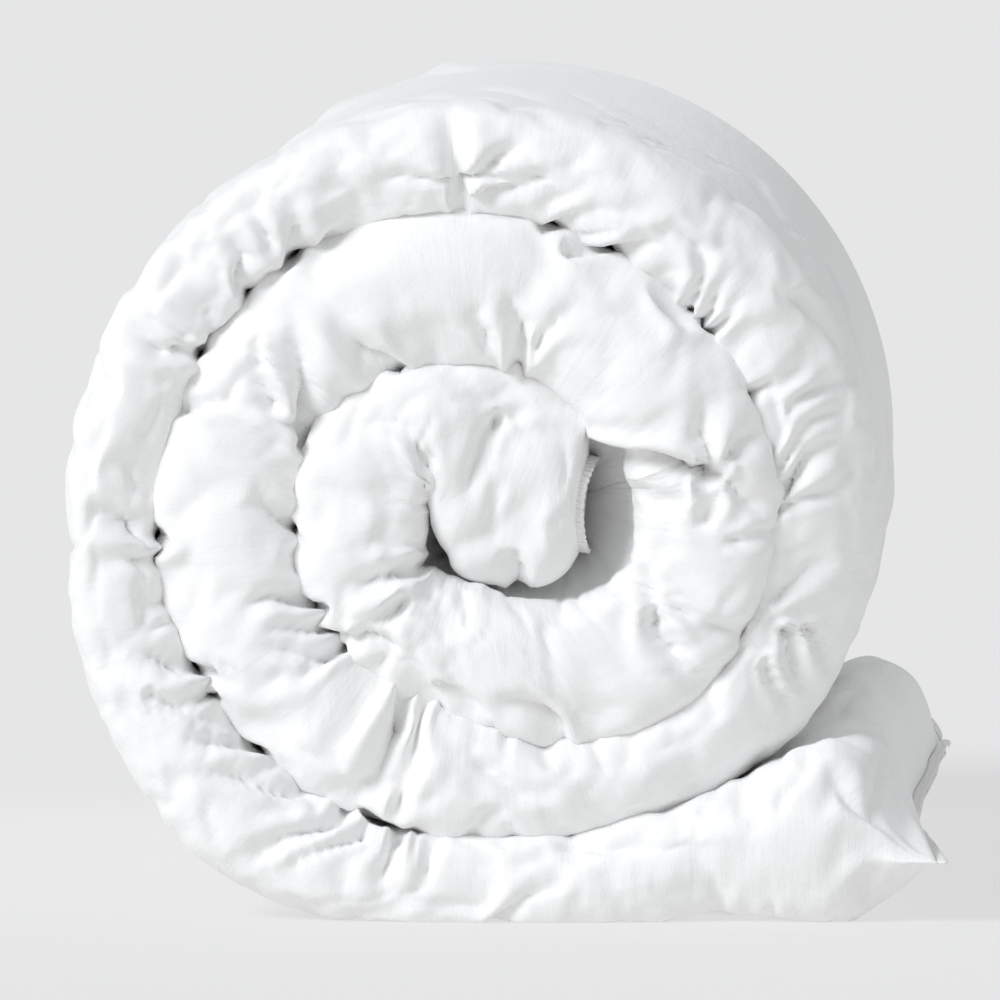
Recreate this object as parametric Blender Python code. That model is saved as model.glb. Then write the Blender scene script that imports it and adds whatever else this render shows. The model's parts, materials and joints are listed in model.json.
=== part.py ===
"""A single duvet, folded in half along its length and rolled up.

The roll lies on its side along Y and rests on its own tail. The fold faces -Y,
the two long edges with their hems face +Y. +X points along the tail, +Z is up,
and the origin is on the floor below the middle of the roll.

The folded duvet has two plies. Each ply is a box of down between the face
cover and the back cover, so a section through the folded duvet is a U: the
face cover is outside, the back cover inside, and the down between them.
Crosswise baffle strips part the down into rows.
"""

import bpy
import bmesh
import math
from mathutils import Vector

# ---- driving sizes, in metres and degrees -------------------------------

DUVET_WIDTH = 1.35          # unfolded, so the roll is half as deep
ROLL_RADIUS = 0.185         # outside of the first turn
SAG = 0.0025                # how far the roll flattens on the floor
TURN_DRIFT = 0.0107         # radius lost in every turn, apart from the ledges
TURN_GAP = 0.0010           # between one turn and the next
# Where the roll climbs over what lies below it: angle, drop and half width.
LEDGES = ((322.0, 0.0267, 35.0), (530.0, 0.0111, 45.0), (705.0, 0.0400, 40.0))
HAUNCH = 0.0110             # bulge low on the left, where the roll sags
HAUNCH_ANGLE = 40.0
HAUNCH_SPREAD = 45.0

STEP_ANGLE = 20.0           # between two sections of the roll
HINGE_ANGLE = -40.0         # where the tail leaves the roll
CORE_ANGLE = 840.0          # where the last bend begins

TAIL_REACH = 0.098          # from the hinge to the tip of the tail
TAIL_TIP = 0.026            # thickness of the folded tip
TAIL_LIFT = 0.016           # height of the tip's underside over the floor

COVER = 0.0015              # thickness of a cover
CLEARANCE = 0.0005          # between any two pieces that touch
BAFFLE = 0.0010             # thickness of a baffle strip
HEM_WIDTH = 0.010
HEM_THICKNESS = 0.0040
EDGE_HALF = 0.0040          # half thickness of a ply where it meets its hem
EDGE_TAPER = 0.055          # depth over which a ply thins towards its hem
FOLD_COLUMN = 0.135         # from the fold to the first column line
COLUMN = 0.270              # width of the other columns
ROLL_ROWS = 6               # rows of down between the hinge and the core
FACE_ARC = 4                # facets round the fold of the face cover
MID_ARC = 2                 # facets round the fold of the back cover

# ---- the shape of the core, as shares of the radius left for it ----------

# Outside of the last bend: one radius for each section after CORE_ANGLE.
CORE_OUTSIDE = (0.92, 0.85, 0.816, 0.82, 0.80, 0.70)
# Inside of the last bend, from the crease that it turns round: X and Z.
CORE_INSIDE = ((-0.235, 0.13), (-0.215, 0.10), (-0.185, 0.02),
               (-0.09, -0.20), (0.17, -0.36), (0.51, -0.31))
# Inside of the turn round the core, past the last bend: a radius each section.
HOLLOW = (0.81, 0.88, 0.865, 0.81, 0.675, 0.53, 0.445, 0.435, 0.455, 0.405,
          0.35, 0.32, 0.29)
# The tail past the hinge: share of its reach, of its height and of its lift.
TAIL_PROFILE = ((0.0, 1.0, 0.0), (0.35, 1.14, 0.0), (0.70, 1.18, 0.05), (0.92, 0.95, 0.40))

# ---- worked out from the sizes -------------------------------------------

DEPTH = DUVET_WIDTH / 2
CENTRE_HEIGHT = ROLL_RADIUS - SAG
FRONT = -DEPTH / 2
REAR = DEPTH / 2 - HEM_WIDTH - CLEARANCE
TAPER_START = REAR - EDGE_TAPER
FILL_FACE = COVER + CLEARANCE
FILL_MID = CLEARANCE / 2 + COVER + CLEARANCE
FIRST_LINE = FRONT + FOLD_COLUMN
SECOND_LINE = FIRST_LINE + COLUMN
LINE_HALF_GAP = BAFFLE / 2

COLLECTION = "rolled_duvet"


def smooth(share):
    """A rise from 0 to 1 that starts and ends level."""
    share = min(max(share, 0.0), 1.0)
    return share * share * (3 - 2 * share)


def direction(angle):
    """The way out from the roll's axis; 0 is down and 90 is to -X."""
    turn = math.radians(angle)
    return Vector((-math.sin(turn), -math.cos(turn)))


def outer_radius(angle):
    """Radius of the roll's outside, angle degrees in from the bottom."""
    radius = ROLL_RADIUS - TURN_DRIFT * angle / 360
    for centre, drop, half in LEDGES:
        radius -= drop * smooth((angle - centre + half) / (2 * half))
    radius += HAUNCH * smooth(1 - abs(angle - HAUNCH_ANGLE) / HAUNCH_SPREAD)
    if angle < 60:
        radius = min(radius, CENTRE_HEIGHT / math.cos(math.radians(angle)))
    return radius


def inner_radius(angle):
    """Radius of the layer's inside: it lies on the next turn, or on the hollow."""
    beyond = angle + 360
    if beyond <= CORE_ANGLE:
        return outer_radius(beyond) + TURN_GAP
    left = outer_radius(CORE_ANGLE)
    place = round((beyond - CORE_ANGLE) / STEP_ANGLE) - 1
    if place < len(CORE_OUTSIDE) - 1:
        return CORE_OUTSIDE[place] * left + TURN_GAP
    return HOLLOW[place - len(CORE_OUTSIDE) + 1] * left


def make_stations():
    """Outer and inner points (X, Z) of every section, from the tip to the core."""
    centre = Vector((0.0, CENTRE_HEIGHT))
    hinge_top = centre + direction(HINGE_ANGLE) * (outer_radius(HINGE_ANGLE + 360) + TURN_GAP)
    height = hinge_top.y
    tip_x = hinge_top.x + TAIL_REACH - HEM_WIDTH - CLEARANCE
    found = [(Vector((tip_x, TAIL_LIFT)), Vector((tip_x, TAIL_LIFT + TAIL_TIP)))]
    for reach, share, lift in reversed(TAIL_PROFILE):
        x = hinge_top.x + reach * (TAIL_REACH - HEM_WIDTH)
        found.append((Vector((x, lift * TAIL_LIFT)), Vector((x, share * height))))
    hinge_index = len(found) - 1

    angle = HINGE_ANGLE + STEP_ANGLE
    while angle < 0:
        inner = centre + direction(angle) * (outer_radius(angle + 360) + TURN_GAP)
        found.append((Vector((inner.x, 0.0)), inner))
        angle += STEP_ANGLE
    while angle <= CORE_ANGLE:
        way = direction(angle)
        found.append((centre + way * outer_radius(angle), centre + way * inner_radius(angle)))
        angle += STEP_ANGLE

    left = outer_radius(CORE_ANGLE)
    for place, share in enumerate(CORE_OUTSIDE):
        way = direction(CORE_ANGLE + (place + 1) * STEP_ANGLE)
        found.append((centre + way * share * left, centre + Vector(CORE_INSIDE[place]) * left))

    lowest = min(min(outer.x, inner.x) for outer, inner in found)
    highest = hinge_top.x + TAIL_REACH
    shift = Vector((-(lowest + highest) / 2, 0.0))
    return [(outer + shift, inner + shift) for outer, inner in found], hinge_index


STATIONS, HINGE_INDEX = make_stations()
LAST = len(STATIONS) - 1
HINGE = Vector((STATIONS[HINGE_INDEX][1].x, 0.0, STATIONS[HINGE_INDEX][1].y))


# ---- sections ---------------------------------------------------------------

def middle_at(station):
    outer, inner = STATIONS[station]
    return (outer + inner) / 2


def ring_points(station, ring_at):
    """Points in space of a section, given as depths along Y and in from the face."""
    outer, inner = STATIONS[station]
    thickness = (inner - outer).length
    way = (inner - outer) / thickness
    points = []
    for y, depth in ring_at(thickness):
        at = outer + way * depth
        points.append(Vector((at.x, y, at.y)))
    return points


def between_stations(place, points_at):
    """Points at a place on the straight runs between two stations."""
    low = min(int(place), LAST - 1)
    share = place - low
    if share == 0.0:
        return points_at(low)
    return [a.lerp(b, share) for a, b in zip(points_at(low), points_at(low + 1))]


def step_along(place, distance):
    """The place a distance further along the middle of the layer."""
    low = min(int(place), LAST - 1) if distance > 0 else max(math.ceil(place) - 1, 0)
    length = (middle_at(low + 1) - middle_at(low)).length
    return place + distance / length


def span_places(start, end):
    """The two ends and every station between them."""
    inside = [k for k in range(LAST + 1) if start + 1e-6 < k < end - 1e-6]
    return [start] + inside + [end]


def depth_of(surface, thickness, y):
    """Distance in from the face cover of a surface, on the outer ply.

    A surface is an offset in from the face, or an offset out from the middle.
    Past TAPER_START both close in on the ply's own middle.
    """
    side, offset = surface
    level = offset if side == "face" else thickness / 2 - offset
    edge = thickness / 4 - EDGE_HALF + offset
    if side == "mid":
        edge = thickness / 4 + EDGE_HALF - (offset - CLEARANCE / 2)
    share = min(max((y - TAPER_START) / EDGE_TAPER, 0.0), 1.0)
    return level + (edge - level) * share


def fold_points(surface, thickness):
    """Half circle round the fold: depth along Y and distance from the face."""
    side, offset = surface
    radius = thickness / 2 - offset if side == "face" else offset
    facets = FACE_ARC if side == "face" else MID_ARC
    points = []
    for k in range(facets + 1):
        turn = math.pi * k / facets
        y = FRONT + thickness / 2 - radius * math.sin(turn)
        points.append((y, thickness / 2 - radius * math.cos(turn)))
    return points


def ply_line(surface, thickness, ys, mirrored=False):
    """Points of one surface along a ply, at the given depths along Y."""
    line = []
    for y in ys:
        depth = depth_of(surface, thickness, y)
        line.append((y, thickness - depth if mirrored else depth))
    return line


def u_ring(near, far, thickness, ys):
    """Closed section of a U-shaped piece between two surfaces."""
    ring = []
    for surface, back in ((near, False), (far, True)):
        line = ply_line(surface, thickness, ys) + fold_points(surface, thickness)
        line += ply_line(surface, thickness, ys[::-1], mirrored=True)
        ring += line[::-1] if back else line
    return ring


def ply_ring(near, far, thickness, ys, mirrored):
    """Closed section of a piece that lies in one ply."""
    return (ply_line(near, thickness, ys, mirrored)
            + ply_line(far, thickness, ys, mirrored)[::-1])


# ---- making objects -----------------------------------------------------------

def clear_scene():
    for item in list(bpy.data.objects):
        bpy.data.objects.remove(item, do_unlink=True)


def make_material(name, colour, roughness):
    material = bpy.data.materials.new(name)
    material.use_nodes = True
    shader = material.node_tree.nodes["Principled BSDF"]
    shader.inputs["Base Color"].default_value = (*colour, 1.0)
    shader.inputs["Roughness"].default_value = roughness
    shader.inputs["Metallic"].default_value = 0.0
    return material


def add_object(name, data, material, origin):
    data.materials.append(material)
    item = bpy.data.objects.new(name, data)
    item.location = origin
    bpy.data.collections[COLLECTION].objects.link(item)
    return item


def add_band(grid, this, following):
    """Triangles between two rings.

    Every diagonal runs from the rear of one ring to the front of the next, so
    that surfaces a clearance apart are parted the same way and never cross.
    """
    count = len(this)
    for k in range(count):
        rear = k
        front = (k + 1) % count
        if this[rear].co.y < this[front].co.y:
            rear, front = front, rear
        grid.faces.new((this[rear], this[front], following[front]))
        grid.faces.new((this[rear], following[front], following[rear]))


def add_loft(name, start, end, ring_at, material, origin=Vector((0, 0, 0))):
    """A closed solid through the unlike sections from start to end."""
    rings = []
    grid = bmesh.new()
    for place in span_places(start, end):
        ring = between_stations(place, lambda station: ring_points(station, ring_at))
        rings.append([grid.verts.new(point - origin) for point in ring])
    for this, following in zip(rings, rings[1:]):
        add_band(grid, this, following)
    grid.faces.new(rings[0])
    grid.faces.new(rings[-1][::-1])
    bmesh.ops.recalc_face_normals(grid, faces=grid.faces)
    data = bpy.data.meshes.new(name)
    grid.to_mesh(data)
    grid.free()
    data.shade_smooth()
    data.set_sharp_from_angle(angle=math.radians(35))
    return add_object(name, data, material, origin)


def add_prism(name, start, end, levels, y_low, y_high, material, origin=Vector((0, 0, 0))):
    """A strip of one ply: its outline in the XZ plane, extruded along Y.

    levels gives the two distances in from the face for a layer's thickness.
    """
    near_side = []
    far_side = []
    for place in span_places(start, end):
        near, far = between_stations(
            place, lambda station: ring_points(station, lambda t: [(0.0, depth) for depth in levels(t)]))
        near_side.append(near)
        far_side.append(far)
    outline = near_side + far_side[::-1]
    curve = bpy.data.curves.new(name, "CURVE")
    curve.dimensions = "2D"
    curve.fill_mode = "BOTH"
    curve.extrude = (y_high - y_low) / 2
    spline = curve.splines.new("POLY")
    spline.points.add(len(outline) - 1)
    for point, at in zip(spline.points, outline):
        point.co = (at.x - origin.x, at.z - origin.z, 0.0, 1.0)
    spline.use_cyclic_u = True
    item = add_object(name, curve, material, (origin.x, (y_low + y_high) / 2, origin.z))
    item.rotation_euler.x = math.radians(90)
    return item


# ---- the duvet ------------------------------------------------------------------

def add_covers(cotton, lining):
    """Both covers, parted at the line where the tail hinges on the roll."""
    ys = [REAR, TAPER_START]
    parts = (("tail", 0, step_along(HINGE_INDEX, -CLEARANCE), HINGE),
             ("roll", step_along(HINGE_INDEX, CLEARANCE), LAST, Vector((0, 0, 0))))
    face = (("face", 0.0), ("face", COVER))
    back = (("mid", CLEARANCE / 2 + COVER), ("mid", CLEARANCE / 2))
    for label, start, end, origin in parts:
        for name, (near, far), material in (("face_cover", face, cotton), ("back_cover", back, lining)):
            add_loft(f"{name}_{label}", start, end,
                     lambda t, near=near, far=far: u_ring(near, far, t, ys), material, origin)


def row_breaks():
    """Stations that part the roll into rows of nearly equal length."""
    lengths = [0.0]
    for k in range(HINGE_INDEX, LAST):
        lengths.append(lengths[-1] + (middle_at(k + 1) - middle_at(k)).length)
    breaks = []
    for row in range(ROLL_ROWS + 1):
        target = lengths[-1] * row / ROLL_ROWS
        nearest = min(range(len(lengths)), key=lambda k: abs(lengths[k] - target))
        breaks.append(HINGE_INDEX + nearest)
    return breaks


def add_row(label, start, end, down, origin=Vector((0, 0, 0))):
    """One row of down: a column round the fold and two columns in each ply."""
    near = ("face", FILL_FACE)
    far = ("mid", FILL_MID)
    fold_end = [FIRST_LINE - LINE_HALF_GAP]
    add_loft(f"down_{label}_fold", start, end, lambda t: u_ring(near, far, t, fold_end), down, origin)
    middle = (FIRST_LINE + LINE_HALF_GAP, SECOND_LINE - LINE_HALF_GAP)
    edge = [SECOND_LINE + LINE_HALF_GAP, TAPER_START, REAR]
    for ply, mirrored in (("outer", False), ("inner", True)):

        def levels(thickness, mirrored=mirrored):
            low = FILL_FACE
            high = thickness / 2 - FILL_MID
            return (thickness - low, thickness - high) if mirrored else (low, high)

        add_prism(f"down_{label}_{ply}_middle", start, end, levels, *middle, down, origin)
        add_loft(f"down_{label}_{ply}_edge", start, end,
                 lambda t, m=mirrored: ply_ring(near, far, t, edge, m), down, origin)


def add_down(down):
    """Rows of down, each clear of the baffles at its ends."""
    inset = BAFFLE / 2 + CLEARANCE
    tail_start = step_along(0, HEM_WIDTH)
    add_row("tail", tail_start, step_along(HINGE_INDEX, -2 * CLEARANCE), down, HINGE)
    breaks = row_breaks()
    for row, (start, end) in enumerate(zip(breaks, breaks[1:])):
        lead = 2 * CLEARANCE + BAFFLE if row == 0 else 0.0
        finish = end if end == LAST else step_along(end, -inset)
        add_row(f"row{row + 1}", step_along(start, inset + lead), finish, down)


def add_baffles(cambric):
    """A U-shaped strip across the duvet at the start of every row of the roll."""
    ys = [REAR, TAPER_START]
    for row, station in enumerate(row_breaks()[:-1]):
        start = station if row else step_along(station, 2 * CLEARANCE + BAFFLE / 2)
        add_loft(f"baffle_{row + 1}", step_along(start, -BAFFLE / 2), step_along(start, BAFFLE / 2),
                 lambda t: u_ring(("face", FILL_FACE), ("mid", FILL_MID), t, ys), cambric)


def add_side_hems(thread):
    """A hem along the rear edge of each ply."""
    start_y = REAR + CLEARANCE
    end_y = start_y + HEM_WIDTH
    parts = (("tail", 0, step_along(HINGE_INDEX, -CLEARANCE), HINGE),
             ("roll", step_along(HINGE_INDEX, CLEARANCE), LAST, Vector((0, 0, 0))))
    for label, start, end, origin in parts:
        for ply, share in (("outer", 0.25), ("inner", 0.75)):

            def levels(thickness, share=share):
                return (share * thickness - HEM_THICKNESS / 2, share * thickness + HEM_THICKNESS / 2)

            add_prism(f"side_hem_{ply}_{label}", start, end, levels, start_y, end_y, thread, origin)


def add_end_hem(name, outer, inner, way, thread, origin=Vector((0, 0, 0))):
    """A hem round the U-shaped end of the folded duvet, standing off it along way."""
    thickness = (inner - outer).length
    across = (inner - outer) / thickness
    wall = min(HEM_THICKNESS, thickness / 4)
    margin = (thickness / 2 - wall) / 2
    section = [(REAR, margin)] + fold_points(("face", margin), thickness) + [(REAR, thickness - margin)]
    section += [(REAR, thickness / 2 + margin)] + fold_points(("mid", margin), thickness)[::-1]
    section += [(REAR, thickness / 2 - margin)]
    ring = []
    for y, depth in section:
        at = outer + across * depth
        ring.append(Vector((at.x, y, at.y)))
    grid = bmesh.new()
    loops = []
    for distance in (CLEARANCE, HEM_WIDTH + CLEARANCE):
        offset = Vector((way.x, 0.0, way.y)) * distance
        loops.append([grid.verts.new(point + offset - origin) for point in ring])
    count = len(ring)
    for k in range(count):
        other = (k + 1) % count
        grid.faces.new((loops[0][k], loops[0][other], loops[1][other], loops[1][k]))
    grid.faces.new(loops[0])
    grid.faces.new(loops[1][::-1])
    bmesh.ops.recalc_face_normals(grid, faces=grid.faces)
    data = bpy.data.meshes.new(name)
    grid.to_mesh(data)
    grid.free()
    return add_object(name, data, thread, origin)


def add_end_hems(thread):
    outer, inner = STATIONS[0]
    add_end_hem("end_hem_tail", outer, inner, Vector((1.0, 0.0)), thread, HINGE)
    outer, inner = STATIONS[-1]
    across = (inner - outer).normalized()
    onward = Vector((-across.y, across.x))
    add_end_hem("end_hem_core", outer, inner, onward, thread)


def main():
    clear_scene()
    collection = bpy.data.collections.new(COLLECTION)
    bpy.context.scene.collection.children.link(collection)
    cotton = make_material("face_cotton", (0.90, 0.90, 0.89), 0.85)
    lining = make_material("back_cotton", (0.88, 0.88, 0.87), 0.85)
    down = make_material("down_fill", (0.93, 0.92, 0.90), 0.95)
    cambric = make_material("baffle_cambric", (0.86, 0.86, 0.85), 0.90)
    thread = make_material("hem_thread", (0.88, 0.87, 0.85), 0.80)
    add_covers(cotton, lining)
    add_down(down)
    add_baffles(cambric)
    add_side_hems(thread)
    add_end_hems(thread)


main()
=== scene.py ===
"""Looks of a white duvet, folded in half along its length and rolled up."""

import bmesh
import bpy
import json
import math
import numpy as np
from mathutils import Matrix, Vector


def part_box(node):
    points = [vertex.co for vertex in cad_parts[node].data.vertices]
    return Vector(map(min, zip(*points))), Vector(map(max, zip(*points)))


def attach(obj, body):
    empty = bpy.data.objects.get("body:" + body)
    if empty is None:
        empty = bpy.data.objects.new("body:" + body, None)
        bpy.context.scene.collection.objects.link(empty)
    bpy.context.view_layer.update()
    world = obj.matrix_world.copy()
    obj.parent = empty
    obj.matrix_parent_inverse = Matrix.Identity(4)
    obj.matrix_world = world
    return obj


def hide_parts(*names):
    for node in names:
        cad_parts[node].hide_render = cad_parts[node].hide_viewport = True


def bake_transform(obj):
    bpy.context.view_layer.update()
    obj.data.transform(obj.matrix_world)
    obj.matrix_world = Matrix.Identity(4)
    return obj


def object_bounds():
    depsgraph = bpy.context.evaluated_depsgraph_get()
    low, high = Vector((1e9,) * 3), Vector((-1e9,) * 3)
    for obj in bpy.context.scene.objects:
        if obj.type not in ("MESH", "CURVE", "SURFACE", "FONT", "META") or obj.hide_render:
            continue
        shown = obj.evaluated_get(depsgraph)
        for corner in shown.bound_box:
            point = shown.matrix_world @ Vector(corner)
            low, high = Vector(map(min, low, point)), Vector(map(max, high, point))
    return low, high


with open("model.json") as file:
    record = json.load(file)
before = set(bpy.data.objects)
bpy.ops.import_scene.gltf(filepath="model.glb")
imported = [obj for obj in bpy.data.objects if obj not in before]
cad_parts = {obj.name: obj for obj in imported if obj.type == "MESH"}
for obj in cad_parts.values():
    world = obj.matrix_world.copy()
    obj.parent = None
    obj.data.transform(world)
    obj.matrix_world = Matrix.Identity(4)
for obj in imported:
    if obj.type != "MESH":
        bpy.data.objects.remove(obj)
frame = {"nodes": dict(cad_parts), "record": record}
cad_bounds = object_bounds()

# ---- places, all from the frame -------------------------------------------------

CAD_LOW = np.array(cad_bounds[0])
CAD_HIGH = np.array(cad_bounds[1])
JOINT = frame["record"]["behaviour"]["joints"][0]
HINGE = np.array(JOINT["pos_m"])

# ---- the roll's shape, the same as the CAD model's ------------------------------

ROLL_RADIUS = 0.185
SAG = 0.0025
TURN_DRIFT = 0.0107
LEDGES = ((322.0, 0.0267, 35.0), (530.0, 0.0111, 45.0), (705.0, 0.0400, 40.0))
HAUNCH = 0.0110
HAUNCH_ANGLE = 40.0
HAUNCH_SPREAD = 45.0
STEP_ANGLE = 20.0
HINGE_ANGLE = -40.0
CORE_ANGLE = 840.0
CORE_OUTSIDE = (0.92, 0.85, 0.816, 0.82, 0.80, 0.70)
CORE_INSIDE = ((-0.29, 0.165), (-0.285, 0.20), (-0.235, 0.02),
               (-0.11, -0.30), (0.17, -0.38), (0.51, -0.31))
HOLLOW = (0.81, 0.88, 0.865, 0.81, 0.675, 0.53, 0.445, 0.435, 0.455, 0.405,
          0.35, 0.335, 0.335)
# The tail from its tip to the hinge: distance past the hinge, underside, top.
TAIL_SECTIONS = ((0.0895, 0.0275, 0.0325), (0.0865, 0.0170, 0.0500),
                 (0.0780, 0.0060, 0.0690), (0.0600, 0.0010, 0.0800),
                 (0.0310, 0.0, 0.0720))
TAIL_PLACES = len(TAIL_SECTIONS)

CENTRE = np.array([-0.01168, ROLL_RADIUS - SAG])     # X and Z of the roll's axis
FRONT = CAD_LOW[1]
HEM = 0.010                 # width of the hems in the CAD model
REAR = CAD_HIGH[1] - HEM

# ---- the cover's looks ----------------------------------------------------------

PATH_STEP = 0.0038
FINER = 2   # points of the finished grid for each first one
EDGE = 0.060                # depth over which a ply thins towards its hem
GROOVE = 0.075              # depth of the gap between the plies at the rear
SLIT = 0.0012               # half the least width of that gap
HEM_PLY = 0.0008            # half the thickness of a ply at its hem
BULGE = 2.5                 # exponent of the fold's rounded section
FOLD_DEPTH = 0.034          # the most that the fold's rounding reaches back
# Points of a section, in order round it.
GROOVE_POINTS = 12
EDGE_POINTS = 14
OUTSIDE_POINTS = 66
FOLD_POINTS = 26
INSIDE_POINTS = 44
HEM_OUTER = GROOVE_POINTS   # place in a section of the outer ply's sewn edge
HEM_INNER = HEM_OUTER + 2 * EDGE_POINTS + OUTSIDE_POINTS + FOLD_POINTS + INSIDE_POINTS
# Where the fold lies back from the front: angle, half width and depth.
FOLD_SETBACKS = ((284.0, 88.0, 0.012), (655.0, 60.0, 0.006))
CORE_SETBACK = 0.010
LEAN = 0.029                # how far the outside of the fold leans back on the right
CORE_ROUND = 0.014          # length over which the core's end is rounded
CORE_DRAWN = 0.030          # and over which it is drawn in
PUFF_REACH = 0.008          # furthest that a puff reaches in front of the CAD model
LOOSE_DEPTH = 0.135         # how far behind the fold the cloth is let loose
MOST_IN = 0.0020            # how far creases may press a layer's faces in
MOST_OUT = 0.006            # and how far folds may raise them
PRESS = 0.0030              # turns press on each other by this much behind the fold
GIVE_FACE = 0.0015          # how far the loose cloth may swell on the faces
GIVE_CROWN = 0.0065         # and how much further on the fold's crown
SWELL_RIGHT = 0.027         # swelling into the hollow of the core
SWELL_LEFT = 0.015
# Heights of the small folds near the fold, over the body and along the hems.
NEAR_BROAD = 0.0012
NEAR_LOBES = 0.0022
NEAR_RIDGES = 0.0023
NEAR_SMALL = 0.0009
BODY_STREAKS = 0.0030
BODY_SAG = 0.0052
BODY_DENTS = 0.0034
BODY_DRAWN = 0.0030
HEM_PUCKERS = 0.0034
DOWN_TAIL_GAP = 0.030       # the pads of down stay clear of the thin, wavy ends
DOWN_CORE_GAP = 0.035
SEAM_ANGLE = 33.0           # where the cloth is parted, in a deep crease
HEM_HALF = 0.0009           # half the thickness of a hem
# The cloth's settings: the growth is a negative shrinking.
CLOTH = {"quality": 4, "mass": 0.2, "air_damping": 2.0,
         "tension_stiffness": 20, "compression_stiffness": 20,
         "shear_stiffness": 8, "bending_stiffness": 0.6,
         "tension_damping": 8, "compression_damping": 8,
         "shear_damping": 8, "bending_damping": 0.6,
         "shrink_min": -0.05, "pin_stiffness": 1.2,
         "use_pressure": True, "uniform_pressure_force": 5.0}
CLOTH_FRAMES = 16
PIN_LEVELS = 20


def smooth(share):
    """An even passage from 0 to 1."""
    share = np.clip(share, 0.0, 1.0)
    return share * share * (3 - 2 * share)


def direction(angle):
    """The way out from the axis (X, Z): 0 is down, 90 is left, 180 is up."""
    turn = math.radians(angle)
    return np.array([-math.sin(turn), -math.cos(turn)])


def outer_radius(angle):
    """Distance from the axis to the outside of the layer that starts at the hinge."""
    radius = ROLL_RADIUS - TURN_DRIFT * angle / 360
    for centre, drop, half in LEDGES:
        radius -= drop * smooth((angle - centre + half) / (2 * half))
    radius += HAUNCH * smooth(1 - abs(angle - HAUNCH_ANGLE) / HAUNCH_SPREAD)
    if angle < 60:
        radius = min(radius, CENTRE[1] / math.cos(math.radians(angle)))
    return radius


def inner_radius(angle):
    """Distance to its inside: the outside of the turn within, or the hollow's edge."""
    beyond = angle + 360
    if beyond <= CORE_ANGLE:
        return outer_radius(beyond)
    left = outer_radius(CORE_ANGLE)
    place = round((beyond - CORE_ANGLE) / STEP_ANGLE) - 1
    if place < len(CORE_OUTSIDE) - 1:
        return CORE_OUTSIDE[place] * left
    return HOLLOW[place - len(CORE_OUTSIDE) + 1] * left


def stations():
    """Outer and inner points (X, Z) of every section, from the tip to the core."""
    outer = []
    inner = []
    for past, low, high in TAIL_SECTIONS:
        outer.append((HINGE[0] + past, low))
        inner.append((HINGE[0] + past, high))
    angle = HINGE_ANGLE
    while angle <= CORE_ANGLE + 1e-6:
        way = direction(angle)
        if angle < 0:
            top = CENTRE + way * outer_radius(angle + 360)
            outer.append((top[0], 0.0))
            inner.append(tuple(top))
        else:
            outer.append(tuple(CENTRE + way * outer_radius(angle)))
            inner.append(tuple(CENTRE + way * inner_radius(angle)))
        angle += STEP_ANGLE
    left = outer_radius(CORE_ANGLE)
    for place, share in enumerate(CORE_OUTSIDE):
        way = direction(CORE_ANGLE + (place + 1) * STEP_ANGLE)
        outer.append(tuple(CENTRE + way * share * left))
        inner.append(tuple(CENTRE + np.array(CORE_INSIDE[place]) * left))
    return np.array(outer), np.array(inner)


def catmull(points, places):
    """Smooth curve through points, read at fractional places."""
    last = len(points) - 1
    low = np.clip(places.astype(int), 0, last - 1)
    t = (places - low)[:, None]
    p0 = points[np.maximum(low - 1, 0)]
    p1 = points[low]
    p2 = points[low + 1]
    p3 = points[np.minimum(low + 2, last)]
    return 0.5 * ((2 * p1) + (p2 - p0) * t + (2 * p0 - 5 * p1 + 4 * p2 - p3) * t ** 2
                  + (3 * p1 - p0 - 3 * p2 + p3) * t ** 3)


def fine_path():
    """Evenly spaced sections: outer points, inner points and length along the path."""
    outer, inner = stations()
    dense = np.linspace(0, len(outer) - 1, 6000)
    a = catmull(outer, dense)
    b = catmull(inner, dense)
    middle = (a + b) / 2
    # fine spacing follows the longer of the two sides, so that creases stay sharp
    step = np.linalg.norm(np.diff(middle, axis=0), axis=1)
    step = np.maximum(step, 0.7 * np.linalg.norm(np.diff(a, axis=0), axis=1))
    run = np.concatenate([[0], np.cumsum(step)])
    count = int(run[-1] / PATH_STEP)
    places = np.interp(np.linspace(0, run[-1], count), run, dense)
    a = catmull(outer, places)
    b = catmull(inner, places)
    a[:, 1] = np.maximum(a[:, 1], 0.0)
    middle = (a + b) / 2
    length = np.concatenate([[0], np.cumsum(np.linalg.norm(np.diff(middle, axis=0), axis=1))])
    return a, b, length, places


def spaced(start, end, count, power=1.0):
    """From start to end without the end, closer together at the end for power over 1."""
    share = 1 - (1 - np.arange(count) / count) ** power
    return start + (end - start) * share


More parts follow.
